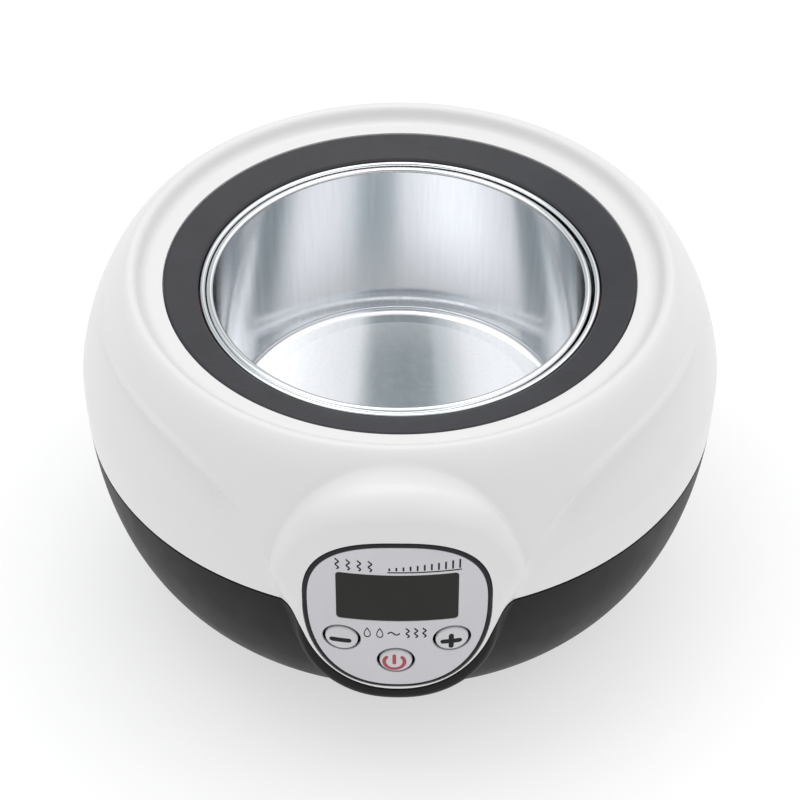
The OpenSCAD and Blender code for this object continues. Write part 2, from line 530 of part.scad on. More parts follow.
module ribbon_cable() color([0.7, 0.7, 0.72]) translate([-16, 0, 0]) rotate([90, 0, 90]) linear_extrude(height = 10) {
    p = spline([[-17, 18.6], [-21, 20], [-40, 24], [-68, 29], [-82, 37], [-88.4, 46], [-89.3, 52]], 4);
    L = len(p);
    nrm = [for (i = [0:L - 1]) let (d = unit(p[min(L - 1, i + 1)] - p[max(0, i - 1)])) [-d[1], d[0]]];
    polygon(concat([for (i = [0:L - 1]) p[i] + 0.4 * nrm[i]], [for (i = [L - 1:-1:0]) p[i] - 0.4 * nrm[i]]));
}

upper_shell();
lower_shell();
base_plate();
top_ring();
heater_well();
well_seal();
wax_pot();
heater_band();
band_clamp();
insulation_sleeve();
heat_shield();
heater_plate();
base_insulation();
well_bracket();
bracket_screws();
stud_nut();
panel_frame();
panel_face();
display_window();
minus_button();
plus_button();
power_button();
minus_plunger();
plus_plunger();
power_plunger();
switch_housings();
lcd_module();
display_board();
display_screws();
power_board();
transformer();
relay();
capacitor();
mains_terminal();
mains_fuse();
temp_sensor();
thermal_fuse();
board_screws();
case_screws();
base_screws();
rubber_feet();
cord_gland();
gland_nut();
heater_leads();
sensor_leads();
mains_leads();
ribbon_cable();
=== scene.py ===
import math

import bmesh
import bpy
import numpy as np
from mathutils import Matrix, Vector


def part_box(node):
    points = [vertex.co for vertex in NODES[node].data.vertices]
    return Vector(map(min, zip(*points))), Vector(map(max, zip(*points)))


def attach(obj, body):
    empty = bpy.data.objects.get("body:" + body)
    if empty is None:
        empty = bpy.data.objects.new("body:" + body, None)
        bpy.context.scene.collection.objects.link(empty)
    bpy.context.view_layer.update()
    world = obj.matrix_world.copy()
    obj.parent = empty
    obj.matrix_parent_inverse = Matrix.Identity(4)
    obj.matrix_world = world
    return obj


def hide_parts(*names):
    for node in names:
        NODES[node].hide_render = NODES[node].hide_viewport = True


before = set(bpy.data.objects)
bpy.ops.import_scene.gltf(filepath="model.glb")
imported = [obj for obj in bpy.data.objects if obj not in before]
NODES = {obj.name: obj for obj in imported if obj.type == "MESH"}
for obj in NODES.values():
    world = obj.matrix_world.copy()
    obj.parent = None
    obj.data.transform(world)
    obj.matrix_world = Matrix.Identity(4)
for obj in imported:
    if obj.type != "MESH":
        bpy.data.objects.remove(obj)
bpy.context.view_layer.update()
MM = 0.001
HOUSING = "housing"


def box_mm(node):
    lo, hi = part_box(node)
    return np.array(lo) * 1000, np.array(hi) * 1000


# ---------------------------------------------------------------- dimensions
# The housing's own numbers, the first of them read from the imported solids' boxes.
BODY_H = box_mm("upper_shell")[1][2]
PANEL_R = -box_mm("panel_frame")[0][1]
WELL_R = box_mm("heater_well")[1][0]
WELL_TOP = box_mm("heater_well")[1][2]
RING_LO, RING_HI = box_mm("top_ring")
POT_LO, POT_HI = box_mm("wax_pot")
BODY_R = box_mm("upper_shell")[1][0]
WIDEST_Z, BASE_R, RIM_R, SEAM_Z = 80.3, 54.0, 81.8, 65.0
FOOT_H, NU, NL, N_UP, N_DN = 4.0, 1.45, 2.3, 2.4, 2.4
FACE_W, FACE_Z, FACE_UP, FACE_DN, BORDER = 26.1, 71.0, 24.0, 32.5, 1.25
WINDOW_W, WINDOW_H, WINDOW_Z = 34.8, 18.7, 74.65
POD_A, LIP, CRESCENT_D, WALL = 13.5, 1.7, 1.3, 2.4
OPEN_W, OPEN_UP, OPEN_DN = FACE_W + BORDER + 0.15, FACE_UP + 1.9, FACE_DN + 0.95
RING_R, FLAT_Z = RING_HI[0], 111.2
TONGUE = 1.2


# ------------------------------------------------------- the housing's surface
def sstep(a, b, x):
    t = np.clip((x - a) / (b - a), 0, 1)
    return t * t * (3 - 2 * t)


def mix(a, b, t):
    return a + (b - a) * t


def smax(a, b, k):
    h = np.clip(0.5 + 0.5 * (a - b) / k, 0, 1)
    return b + (a - b) * h + k * h * (1 - h)


def signed(t):
    return (np.asarray(t, float) + 180) % 360 - 180


def arc(t):
    return np.abs(signed(t)) * math.pi / 180 * 100.6


def profile(z):
    z = np.asarray(z, float)
    up = np.clip((z - WIDEST_Z) / (BODY_H - WIDEST_Z), 0, 1)
    lo = np.clip((WIDEST_Z - z) / (WIDEST_Z - FOOT_H), 0, 1)
    ru = RIM_R + (BODY_R - RIM_R) * np.maximum(0, 1 - up**NU) ** (1 / NU)
    rl = BASE_R + (BODY_R - BASE_R) * np.maximum(0, 1 - lo**NL) ** (1 / NL)
    return np.where(z > WIDEST_Z, ru, rl)


def outside(u, z):
    n = np.where(z > FACE_Z, N_UP, N_DN)
    b = np.where(z > FACE_Z, FACE_UP, FACE_DN)
    g = ((np.abs(u) / FACE_W) ** n + (np.abs(z - FACE_Z) / b) ** n) ** (1 / n)
    d = np.hypot(u, z - FACE_Z)
    return np.where(g <= 1, 0, d * (1 - 1 / np.maximum(g, 1)))


def pod(u, z):
    d = np.maximum(0.01, np.hypot(u, z - FACE_Z))
    s = (z - FACE_Z) / d
    b = mix(mix(11, 13, sstep(0.3, 0.9, s)), 6.5, sstep(0.02, 0.42, -s))
    edge = np.where(s < 0, mix(LIP, 4.4, sstep(0.1, 0.8, -s)), LIP)
    x = np.maximum(0, outside(u, z) - edge) / b
    fall = np.where(x < 1, POD_A * (1 - np.sqrt(np.maximum(0, 1 - x * x))), POD_A + 60 * (x - 1))
    return 100.6 - fall


def crease_z(t):
    a = np.abs(signed(t))
    return 87.5 + 17.5 * (1 - np.exp(-(a - 25) / 9)) + 0.0012 * np.maximum(0, a - 60) ** 2


def crescent(t, z):
    a = np.abs(signed(t))
    w = sstep(21, 34, a) * (1 - sstep(80, 98, a))
    d = crease_z(t) - z
    hollow = sstep(0.4, 3.5, d) * (1 - sstep(4, 13, d))
    crest = sstep(-1.5, 0, d) * (1 - sstep(0, 2.6, d))
    return w * (CRESCENT_D * hollow - 0.65 * crest)


def skin(t, z):
    u = arc(t)
    return smax(profile(z), pod(u, z), 3 + 11 * sstep(2, 10, outside(u, z)) * sstep(65, 79, z)) - crescent(t, z)


def seam(t):
    u = arc(t)
    o = FACE_Z - (FACE_DN + 2.05) * np.maximum(0, 1 - np.minimum(1, u / 29.4) ** 2.2) ** (1 / 2.2)
    f = SEAM_Z - 0.504 * np.maximum(0, 32.8 - u) ** 1.71
    return mix(o, f, sstep(26.5, 29, u))


def edge_lo(t):
    u = arc(t)
    e = FACE_Z - OPEN_DN * (1 - (1 / 1.003) ** N_DN) ** (1 / N_DN)
    inner = FACE_Z - OPEN_DN * np.maximum(0, 1 - (np.minimum(u, OPEN_W) / (OPEN_W * 1.003)) ** N_DN) ** (1 / N_DN)
    return np.where(u <= OPEN_W + 0.001, inner, mix(e, 72, sstep(OPEN_W, OPEN_W + 10, u)))


def edge_hi(t):
    u = arc(t)
    e = FACE_Z + OPEN_UP * (1 - (1 / 1.003) ** N_UP) ** (1 / N_UP)
    inner = FACE_Z + OPEN_UP * np.maximum(0, 1 - (np.minimum(u, OPEN_W) / (OPEN_W * 1.003)) ** N_UP) ** (1 / N_UP)
    return np.where(u <= OPEN_W + 0.001, inner, mix(e, 82, sstep(OPEN_W, OPEN_W + 14, u)))


def inset(t, z, d):
    s = (skin(t, z + 0.3) - skin(t, z - 0.3)) / 0.6
    k = np.sqrt(1 + s * s)
    return skin(t, z) - d / k, z + d * s / k


# ---------------------------------------------------------------- mesh helpers
def new_mesh(name, verts_mm, faces, sharp=35.0):
    me = bpy.data.meshes.new(name)
    me.from_pydata((np.asarray(verts_mm, float) * MM).tolist(), [], [list(map(int, f)) for f in faces])
    me.validate()
    me.update()
    me.shade_smooth()
    if sharp:
        me.set_sharp_from_angle(angle=math.radians(sharp))
    ob = bpy.data.objects.new(name, me)
    bpy.context.scene.collection.objects.link(ob)
    return ob


def finish_piece(ob, body, material, replaces=()):
    ob.data.materials.clear()
    ob.data.materials.append(material)
    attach(ob, body)
    if replaces:
        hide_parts(*replaces)
    return ob


def lathe(name, prof, seg=256, center=(0, 0), closed=True, sharp=35.0):
    """closed ring of (r, z) points turned about Z; points at r=0 become poles"""
    prof = [(float(r), float(z)) for r, z in prof]
    n = len(prof)
    a = np.arange(seg) * 2 * math.pi / seg
    verts, index = [], []
    for r, z in prof:
        if r < 1e-6:
            index.append([len(verts)] * seg)
            verts.append((center[0], center[1], z))
        else:
            index.append(list(range(len(verts), len(verts) + seg)))
            verts += [(center[0] + r * math.cos(t), center[1] + r * math.sin(t), z) for t in a]
    faces = []
    for j in range(n if closed else n - 1):
        p, q = index[j], index[(j + 1) % n]
        if prof[j][0] < 1e-6 and prof[(j + 1) % n][0] < 1e-6:
            continue
        for i in range(seg):
            k = (i + 1) % seg
            f = [p[i], p[k], q[k], q[i]]
            f = [v for m, v in enumerate(f) if v not in f[:m]]
            if len(f) > 2:
                faces.append(f)
    ob = new_mesh(name, verts, faces, None)
    bm = bmesh.new()
    bm.from_mesh(ob.data)
    bmesh.ops.recalc_face_normals(bm, faces=bm.faces)
    bm.to_mesh(ob.data)
    bm.free()
    ob.data.shade_smooth()
    if sharp:
        ob.data.set_sharp_from_angle(angle=math.radians(sharp))
    return ob


def fillet(points, radii, steps=6):
    """a closed (r, z) outline with its corners rounded"""
    out, n = [], len(points)
    P = [np.array(p, float) for p in points]
    for i in range(n):
        r = radii[i] if i < len(radii) else 0
        a, b, c = P[i - 1], P[i], P[(i + 1) % n]
        if r <= 0:
            out.append(tuple(b))
            continue
        u, v = (a - b) / np.linalg.norm(a - b), (c - b) / np.linalg.norm(c - b)
        ang = math.acos(float(np.clip(u @ v, -1, 1)))
        d = min(r / math.tan(ang / 2), 0.48 * np.linalg.norm(a - b), 0.48 * np.linalg.norm(c - b))
        s, e = b + u * d, b + v * d
        for k in range(steps + 1):
            t = k / steps
            out.append(tuple((1 - t) ** 2 * s + 2 * t * (1 - t) * b + t * t * e))
    return out


# ---------------------------------------------------------------- materials
def tree(name):
    m = bpy.data.materials.new(name)
    m.use_nodes = True
    nt = m.node_tree
    nt.nodes.clear()
    out = nt.nodes.new("ShaderNodeOutputMaterial")
    b = nt.nodes.new("ShaderNodeBsdfPrincipled")
    nt.links.new(b.outputs[0], out.inputs[0])
    tc = nt.nodes.new("ShaderNodeTexCoord")
    return m, nt, b, tc


def noise(nt, vec, scale, detail=3.0, rough=0.5, distort=0.0):
    n = nt.nodes.new("ShaderNodeTexNoise")
    n.inputs["Scale"].default_value = scale
    n.inputs["Detail"].default_value = detail
    n.inputs["Roughness"].default_value = rough
    n.inputs["Distortion"].default_value = distort
    nt.links.new(vec, n.inputs["Vector"])
    return n.outputs[0]


def ramp(nt, fac, stops):
    r = nt.nodes.new("ShaderNodeValToRGB")
    el = r.color_ramp.elements
    while len(el) < len(stops):
        el.new(0.5)
    for e, (p, c) in zip(el, stops):
        e.position = p
        e.color = (*c, 1) if len(c) == 3 else c
    nt.links.new(fac, r.inputs[0])
    return r.outputs[0]


def maprange(nt, fac, lo, hi, a=0.3, b=0.7):
    n = nt.nodes.new("ShaderNodeMapRange")
    n.inputs["From Min"].default_value = a
    n.inputs["From Max"].default_value = b
    n.inputs["To Min"].default_value = lo
    n.inputs["To Max"].default_value = hi
    nt.links.new(fac, n.inputs["Value"])
    return n.outputs[0]


def bump(nt, bsdf, height, strength, distance, prev=None):
    n = nt.nodes.new("ShaderNodeBump")
    n.inputs["Strength"].default_value = strength
    n.inputs["Distance"].default_value = distance
    nt.links.new(height, n.inputs["Height"])
    if prev is not None:
        nt.links.new(prev, n.inputs["Normal"])
    if bsdf is not None:
        nt.links.new(n.outputs[0], bsdf.inputs["Normal"])
    return n.outputs[0]


def scaled(nt, tc, sx, sy, sz, rot=(0, 0, 0)):
    mp = nt.nodes.new("ShaderNodeMapping")
    mp.inputs["Scale"].default_value = (sx, sy, sz)
    mp.inputs["Rotation"].default_value = rot
    nt.links.new(tc.outputs["Object"], mp.inputs["Vector"])
    return mp.outputs[0]


def plastic(name, base, var=0.04, rough=(0.3, 0.36), grain=900, grain_d=0.00003, grain_s=0.3,
            blotch=14, spec=0.5, coat=0.0, coat_rough=0.1, metallic=0.0, tint=None, sheen=0.0, ior=1.5):
    """moulded plastic: faint blotches in colour and gloss, and a fine spark-eroded grain"""
    m, nt, b, tc = tree(name)
    dark = tuple(c * (1 - var) for c in base)
    light = tuple(min(1, c * (1 + var)) for c in (tint or base))
    n1 = noise(nt, tc.outputs["Object"], blotch, 4, 0.55)
    nt.links.new(ramp(nt, n1, [(0.3, dark), (0.7, light)]), b.inputs["Base Color"])
    n2 = noise(nt, tc.outputs["Object"], blotch * 7, 5, 0.6)
    nt.links.new(maprange(nt, n2, rough[0], rough[1]), b.inputs["Roughness"])
    if grain:
        g = noise(nt, tc.outputs["Object"], grain, 2, 0.6)
        bump(nt, b, g, grain_s, grain_d)
    b.inputs["Metallic"].default_value = metallic
    b.inputs["Specular IOR Level"].default_value = spec
    b.inputs["Coat Weight"].default_value = coat
    b.inputs["Coat Roughness"].default_value = coat_rough
    b.inputs["Sheen Weight"].default_value = sheen
    b.inputs["IOR"].default_value = ior
    return m


def metal(name, base, rough=(0.12, 0.2), stretch=(60, 60, 4), streak=0.25, streak_d=0.00002, var=0.05, spots=240):
    """sheet metal: fine drawing or brushing lines in colour, gloss and relief"""
    m, nt, b, tc = tree(name)
    v = scaled(nt, tc, *stretch)
    n1 = noise(nt, v, 22, 5, 0.6)
    dark = tuple(c * (1 - var) for c in base)
    nt.links.new(ramp(nt, n1, [(0.3, dark), (0.7, base)]), b.inputs["Base Color"])
    n2 = noise(nt, v, 9, 4, 0.6)
    nt.links.new(maprange(nt, n2, rough[0], rough[1]), b.inputs["Roughness"])
    p = bump(nt, None, n1, streak, streak_d)
    n3 = noise(nt, tc.outputs["Object"], spots, 3, 0.5)
    bump(nt, b, n3, streak * 0.5, streak_d, prev=p)
    b.inputs["Metallic"].default_value = 1.0
    return m


MAT = {}
MAT["white"] = plastic("white_abs", (0.795, 0.783, 0.785), 0.01, (0.30, 0.34), 0, 0, 0, 9)
MAT["charcoal"] = plastic("charcoal_abs", (0.010, 0.009, 0.0102), 0.10, (0.40, 0.48), 1500, 0.00004, 0.3, 12, spec=0.12)
MAT["ring"] = plastic("dark_ring", (0.036, 0.036, 0.042), 0.10, (0.42, 0.50), 1300, 0.00006, 0.5, 60, spec=0.36)
MAT["border"] = plastic("border_black", (0.014, 0.014, 0.017), 0.10, (0.36, 0.44), 1200, 0.00002, 0.25, 30, spec=0.16)
MAT["face"] = plastic("silver_face", (0.61, 0.60, 0.63), 0.03, (0.36, 0.42), 2200, 0.00003, 0.3, 40, metallic=0.15)
MAT["key"] = plastic("key_silver", (0.62, 0.61, 0.635), 0.03, (0.32, 0.38), 2200, 0.00002, 0.25, 50, metallic=0.1)
MAT["lens"] = plastic("display_lens", (0.012, 0.012, 0.009), 0.15, (0.2, 0.26), 300, 0.00001, 0.08, 30, spec=0.2)
MAT["ink"] = plastic("ink_dark", (0.012, 0.012, 0.014), 0.2, (0.45, 0.55), 3000, 0.00001, 0.3, 90, spec=0.15)
MAT["ink_red"] = plastic("ink_red", (0.40, 0.045, 0.06), 0.12, (0.35, 0.45), 3000, 0.00001, 0.3, 90)
MAT["rubber"] = plastic("black_rubber", (0.02, 0.02, 0.021), 0.25, (0.6, 0.75), 1200, 0.00008, 0.6, 40)
MAT["pot"] = metal("pot_aluminium", (0.90, 0.91, 0.93), (0.10, 0.17), (40, 40, 2.5), 0.10, 0.00001)
MAT["well"] = metal("well_aluminium", (0.86, 0.88, 0.90), (0.10, 0.16), (30, 30, 30), 0.10, 0.00001)
MAT["zinc"] = metal("zinc_steel", (0.60, 0.61, 0.63), (0.25, 0.38), (60, 60, 60), 0.4, 0.00003)
MAT["sheet"] = metal("aluminium_sheet", (0.72, 0.73, 0.75), (0.22, 0.34), (30, 30, 6), 0.3, 0.00003)
MAT["mica"] = plastic("mica", (0.50, 0.40, 0.23), 0.25, (0.4, 0.6), 500, 0.00008, 0.6, 120)
MAT["felt"] = plastic("glass_felt", (0.80, 0.77, 0.66), 0.12, (0.85, 0.95), 600, 0.0004, 1.0, 90, sheen=0.3)
MAT["silicone"] = plastic("silicone_red", (0.42, 0.07, 0.04), 0.1, (0.4, 0.5), 700, 0.00003, 0.4, 60)
MAT["board"] = plastic("board_green", (0.012, 0.11, 0.035), 0.25, (0.28, 0.4), 500, 0.00005, 0.5, 220)
MAT["black_part"] = plastic("part_black", (0.022, 0.022, 0.023), 0.2, (0.4, 0.5), 1000, 0.00004, 0.4, 60)
MAT["blue"] = plastic("part_blue", (0.02, 0.08, 0.30), 0.12, (0.25, 0.35), 800, 0.00002, 0.3, 60)
MAT["yellow"] = plastic("part_yellow", (0.62, 0.38, 0.02), 0.1, (0.3, 0.4), 700, 0.00003, 0.3, 60)
MAT["green"] = plastic("part_green", (0.03, 0.22, 0.08), 0.12, (0.4, 0.5), 900, 0.00003, 0.4, 60)
MAT["winding"] = plastic("winding", (0.42, 0.32, 0.09), 0.25, (0.3, 0.45), 260, 0.0001, 0.6, 90)
MAT["ceramic"] = plastic("ceramic", (0.78, 0.74, 0.62), 0.06, (0.2, 0.3), 500, 0.00002, 0.3, 70)
MAT["brown"] = plastic("lead_brown", (0.10, 0.04, 0.015), 0.15, (0.4, 0.5), 900, 0.00002, 0.3, 60)
MAT["white_lead"] = plastic("lead_white", (0.72, 0.71, 0.66), 0.06, (0.45, 0.55), 900, 0.00003, 0.4, 60)
MAT["black_lead"] = plastic("lead_black", (0.025, 0.025, 0.025), 0.15, (0.4, 0.5), 900, 0.00002, 0.3, 60)
MAT["ribbon"] = plastic("ribbon_grey", (0.42, 0.42, 0.44), 0.08, (0.4, 0.5), 900, 0.00003, 0.4, 400)
MAT["lcd"] = plastic("lcd_frame", (0.09, 0.10, 0.08), 0.15, (0.35, 0.45), 900, 0.00003, 0.3, 60)
MAT["fuse"] = plastic("fuse_glass", (0.75, 0.77, 0.78), 0.05, (0.08, 0.14), 400, 0.00001, 0.1, 60, coat=0.5)

LOOK = dict(upper_shell="white", lower_shell="charcoal", base_plate="charcoal", top_ring="ring", heater_well="well", well_seal="silicone",
            wax_pot="pot", heater_band="mica", band_clamp="zinc", insulation_sleeve="felt", heat_shield="sheet", heater_plate="mica",
            base_insulation="felt", well_bracket="zinc", bracket_screws="zinc", stud_nut="zinc", panel_frame="border", panel_face="face",
            display_window="lens", minus_button="key", plus_button="key", power_button="key", minus_plunger="black_part",
            plus_plunger="black_part", power_plunger="black_part", switch_housings="black_part", lcd_module="lcd", display_board="board",
            display_screws="zinc", power_board="board", transformer="winding", relay="blue", capacitor="yellow", mains_terminal="green",
            mains_fuse="fuse", temp_sensor="zinc", thermal_fuse="ceramic", board_screws="zinc", case_screws="zinc", base_screws="zinc",
            rubber_feet="rubber", cord_gland="rubber", gland_nut="black_part", heater_leads="white_lead", sensor_leads="black_lead",
            mains_leads="brown", ribbon_cable="ribbon")
for node, look in LOOK.items():
    ob = NODES[node]
    if not ob.material_slots:
        ob.data.materials.append(MAT[look])
    for s in ob.material_slots:
        s.material = MAT[look]
    ob.data.shade_smooth()
    ob.data.set_sharp_from_angle(angle=math.radians(30))


# ---------------------------------------------------------------- the two shells
T_OPEN = OPEN_W / 100.6 * 180 / math.pi
C1 = 44
half = [T_OPEN * (1 - (1 - k / C1) ** 1.6) for k in range(C1)] + [T_OPEN]
half += [T_OPEN + 6 * (k / 30) ** 1.5 for k in range(1, 31)]
half += [T_OPEN + 6 + (174 - T_OPEN) * (k / 110) ** 1.12 for k in range(1, 111)]
COLS = np.array(half + [360 - h for h in half[-2:0:-1]])
NC = len(COLS)


def grid_shell(name, loops, holes=None):
    """loops: (NC, M, 2) closed (r, z) rings, one per column; holes: (column test, row pairs) left open and walled"""
    L = np.asarray(loops, float)
    n = L.shape[1]
    t = np.radians(COLS)[:, None]
    V = np.stack([L[:, :, 0] * np.sin(t), -L[:, :, 0] * np.cos(t), L[:, :, 1]], -1).reshape(-1, 3)
    I, J = np.meshgrid(np.arange(NC), np.arange(n), indexing="ij")
    keep = np.ones((NC, n), bool)
    walls = []
    if holes:
        c, lo, hi, ilo, ihi = holes
        cmask = (I < c) | (I >= NC - c)
        keep &= ~(cmask & (((J >= lo) & (J < hi)) | ((J >= ihi) & (J < ilo))))
        ic = [(k) % NC for k in range(-c, c + 1)]
        at = lambda i, j: i * n + j
        for a, b in zip(ic[:-1], ic[1:]):
            walls.append([at(a, lo), at(b, lo), at(b, ilo), at(a, ilo)])
            walls.append([at(b, hi), at(a, hi), at(a, ihi), at(b, ihi)])
        for j in range(hi - lo):
            walls.append([at(ic[0], lo + j + 1), at(ic[0], lo + j), at(ic[0], ilo - j), at(ic[0], ilo - j - 1)])
            walls.append([at(ic[-1], lo + j), at(ic[-1], lo + j + 1), at(ic[-1], ilo - j - 1), at(ic[-1], ilo - j)])
    I2, J2 = (I + 1) % NC, (J + 1) % n
    F = np.stack([I * n + J, I2 * n + J, I2 * n + J2, I * n + J2], -1)[keep]
    faces = F.tolist() + walls
    ob = new_mesh(name, V, faces, None)
    bm = bmesh.new()
    bm.from_mesh(ob.data)
    bmesh.ops.recalc_face_normals(bm, faces=bm.faces)
    bm.to_mesh(ob.data)
    bm.free()
    ob.data.shade_smooth()
    ob.data.set_sharp_from_angle(angle=math.radians(40))
    return ob


NA, NB, NCC = 5, 26, 84
NOUT = NA + NB + NCC + 1


def row_z(t, j):
    s, l, h = seam(t), edge_lo(t), edge_hi(t)
    if j <= NA:
        return mix(s + 0.45, l, j / NA)
    if j <= NA + NB:
        return mix(l, h, (j - NA) / NB)
    return mix(h, BODY_H, 1 - (1 - (j - NA - NB) / NCC) ** 1.8)


def build_upper():
    t = COLS
    rows = []
    for j in range(NOUT):
        z = row_z(t, j)
        rows.append((skin(t, np.minimum(z, BODY_H)), z))
    const = lambda r, z: (np.full(NC, float(r)), np.full(NC, float(z)))
    H = BODY_H
    for r, z in [(81.2, H - 0.03), (80.6, H - 0.18), (80.0, H - 0.48), (79.5, H - 0.9), (79.1, H - 1.4), (78.75, H - 1.95), (78.4, H - 2.5),
                 (78.0, H - 3.05), (77.5, FLAT_Z + 0.95), (76.9, FLAT_Z + 0.5), (76.2, FLAT_Z + 0.2), (75.4, FLAT_Z + 0.05), (74.4, FLAT_Z),
                 (RING_R + 0.6, FLAT_Z), (RING_R + 0.36, FLAT_Z - 0.08), (RING_R + 0.3, FLAT_Z - 0.3), (RING_R + 0.3, 109), (68, 109), (68, 106.6),
                 (73.5, 106.6), (74.5, 108.6), (81, 108.4), (84, 107.2)]:
        rows.append(const(r, z))
    inner = list(range(NA + NB + 34, 0, -1))
    n_rim = len(rows) - NOUT
    for j in inner:
        z = row_z(t, j)
        rows.append(inset(t, z, WALL))
    s = seam(t)
    th = np.minimum(3, 0.42 * (edge_lo(t) - s))
    pr, pz = inset(t, s + th, WALL)
    rows.append((pr, s + th))
    e = skin(t, s)
    rows += [(e - TONGUE, s + th), (e - TONGUE, s), (e - 0.42, s), (e - 0.16, s + 0.1), (e - 0.03, s + 0.26)]
    L = np.stack([np.stack(r, -1) for r in rows], 1)
    in_row = lambda j: NOUT + n_rim + (len(inner) - j)
    return grid_shell("upper_shell_skin", L, (C1, NA, NA + NB, in_row(NA), in_row(NA + NB)))


def build_lower():
    t = COLS
    gap = 0.3
    s = seam(t) - gap
    e = skin(t, seam(t))
    n = 96
    rows = []
    for j in range(n):
        z = FOOT_H + (s - 0.45 - FOOT_H) * (j / (n - 1)) ** 1.7
        r = np.full(NC, BASE_R) if j == 0 else skin(t, z)
        rows.append((r, z))
    th = np.minimum(3, 0.42 * (edge_lo(t) - seam(t))) - 0.15
    rows += [(e - 0.03, s - 0.26), (e - 0.16, s - 0.1), (e - 0.42, s), (e - TONGUE - 0.1, s), (e - TONGUE - 0.1, s + th), (e - WALL - 0.05, s + th)]
    for j in range(n - 1, 26, -6):
        z = FOOT_H + (s - 0.45 - FOOT_H) * (j / (n - 1)) ** 1.7
        rows.append(inset(t, z, WALL))
    const = lambda r, z: (np.full(NC, float(r)), np.full(NC, float(z)))
    rows += [const(*p) for p in [(64, 8.6), (43, 8.6), (43, FOOT_H + 2.6), (50.4, FOOT_H + 2.6), (50.4, FOOT_H + 0.3), (50.7, FOOT_H)]]
    return grid_shell("lower_shell_skin", np.stack([np.stack(r, -1) for r in rows], 1))


upper = build_upper()
finish_piece(upper, HOUSING, MAT["white"], ["upper_shell"])
lower = build_lower()
finish_piece(lower, HOUSING, MAT["charcoal"], ["lower_shell"])

# ---------------------------------------------------------------- ring, well and pot
rz = FLAT_Z
ring_prof = fillet([(58.8, 103.9), (58.8, 104.9), (61.0, 104.9), (61.0, 107.9), (61.7, 108.5), (70.6, rz + 0.05), (RING_R, rz - 0.45),
                    (RING_R, 109.05), (67.6, 109.05), (67.6, 103), (66, 103), (66, 106.9), (62.6, 105.9), (62.6, 103.9)],
                   [0, 0, 0, 0.4, 0.8, 0.5, 0.4, 0, 0, 0.3, 0.3], 5)
ring = lathe("top_ring_skin", ring_prof, 320)
finish_piece(ring, HOUSING, MAT["ring"], ["top_ring"])

bead = [(59.8 + 0.9 * math.cos(a), 107.3 + 0.9 * math.sin(a)) for a in np.radians(np.arange(-74, 202, 9))]
well_prof = [(0, 48.6)] + fillet([(54.9, 48.6), (58.4, 52.1), (58.4, 104.5), (59.35, 106.1)], [1.2, 1.5, 0.8, 0], 5) + bead \
    + fillet([(58.7, 106.4), (57.6, 104.2), (57.6, 52.5), (54.5, 49.4)], [0.2, 0.8, 2.2, 2.0], 6) + [(0, 49.4)]
well = lathe("heater_well_skin", well_prof, 320)
finish_piece(well, HOUSING, MAT["well"], ["heater_well"])
stud = lathe("well_stud", fillet([(0, 34), (1.7, 34), (2.0, 34.5), (2.0, 48.7), (0, 48.7)], [0], 2), 48)
finish_piece(stud, HOUSING, MAT["zinc"])

px, py = (POT_LO[0] + POT_HI[0]) / 2, (POT_LO[1] + POT_HI[1]) / 2
pt = POT_HI[2]
roll = [(57.2 + 1.15 * math.cos(a), 107.05 + 1.15 * math.sin(a)) for a in np.radians(np.arange(-100, 181, 10))]
pot_prof = [(0, 49.45)] + fillet([(43.7, 49.45), (54.75, 51.0), (56.75, 105.7)], [2.5, 3.2, 0], 9) + roll \
    + fillet([(56.05, 106.6), (54.0, 51.7), (43.5, 50.2)], [0.0, 2.5, 3.0], 9) + [(0, 50.2)]
pot = lathe("wax_pot_skin", pot_prof, 384, (px, py))
finish_piece(pot, "pot", MAT["pot"], ["wax_pot"])


# ---------------------------------------------------------------- control panel
def outline(w, up, dn, n=220):
    """outline of the panel face in the front view (x, z), as the frame and the face are cut"""
    pts = []
    for k in range(n):
        a = 2 * math.pi * k / n
        c, s = math.cos(a), math.sin(a)
        e = N_UP if s > 0 else N_DN
        g = (abs(c) ** e + abs(s) ** e) ** (-1 / e)
        u = (FACE_W + w) * c * g
        pts.append((100.6 * math.sin(u / 100.6), FACE_Z + s * g * (FACE_UP + up if s > 0 else FACE_DN + dn)))
    return pts


def circle(cx, cz, r, n=72):
    """the keys' slightly flattened round"""
    return [(cx + r * math.cos(2 * math.pi * k / n), cz + OVAL * r * math.sin(2 * math.pi * k / n)) for k in range(n)]


def rrect(cx, cz, w, h, r, n=8):
    out = []
    for sx, sz, a0 in [(1, 1, 0), (-1, 1, 90), (-1, -1, 180), (1, -1, 270)]:
        for k in range(n + 1):
            a = math.radians(a0 + 90 * k / n)
            out.append((cx + sx * (w / 2 - r) + r * math.cos(a), cz + sz * (h / 2 - r) + r * math.sin(a)))
    return out


def stroke(pts, r, n=8):
    """outline of a line of half-width r along pts, with round ends"""
    P = [np.array(p, float) for p in pts]
    d = [P[min(i + 1, len(P) - 1)] - P[max(i - 1, 0)] for i in range(len(P))]
    nrm = [np.array([-v[1], v[0]]) / np.linalg.norm(v) for v in d]
    right = [tuple(p - k * r) for p, k in zip(P, nrm)]
    left = [tuple(p + k * r) for p, k in zip(P, nrm)][::-1]
    a1 = math.atan2(d[-1][1], d[-1][0])
    a0 = math.atan2(d[0][1], d[0][0])
    end = [(P[-1][0] + r * math.cos(a1 - math.pi / 2 + math.pi * k / n), P[-1][1] + r * math.sin(a1 - math.pi / 2 + math.pi * k / n)) for k in range(1, n)]
    start = [(P[0][0] + r * math.cos(a0 + math.pi / 2 + math.pi * k / n), P[0][1] + r * math.sin(a0 + math.pi / 2 + math.pi * k / n)) for k in range(1, n)]
    return right + end + left + start


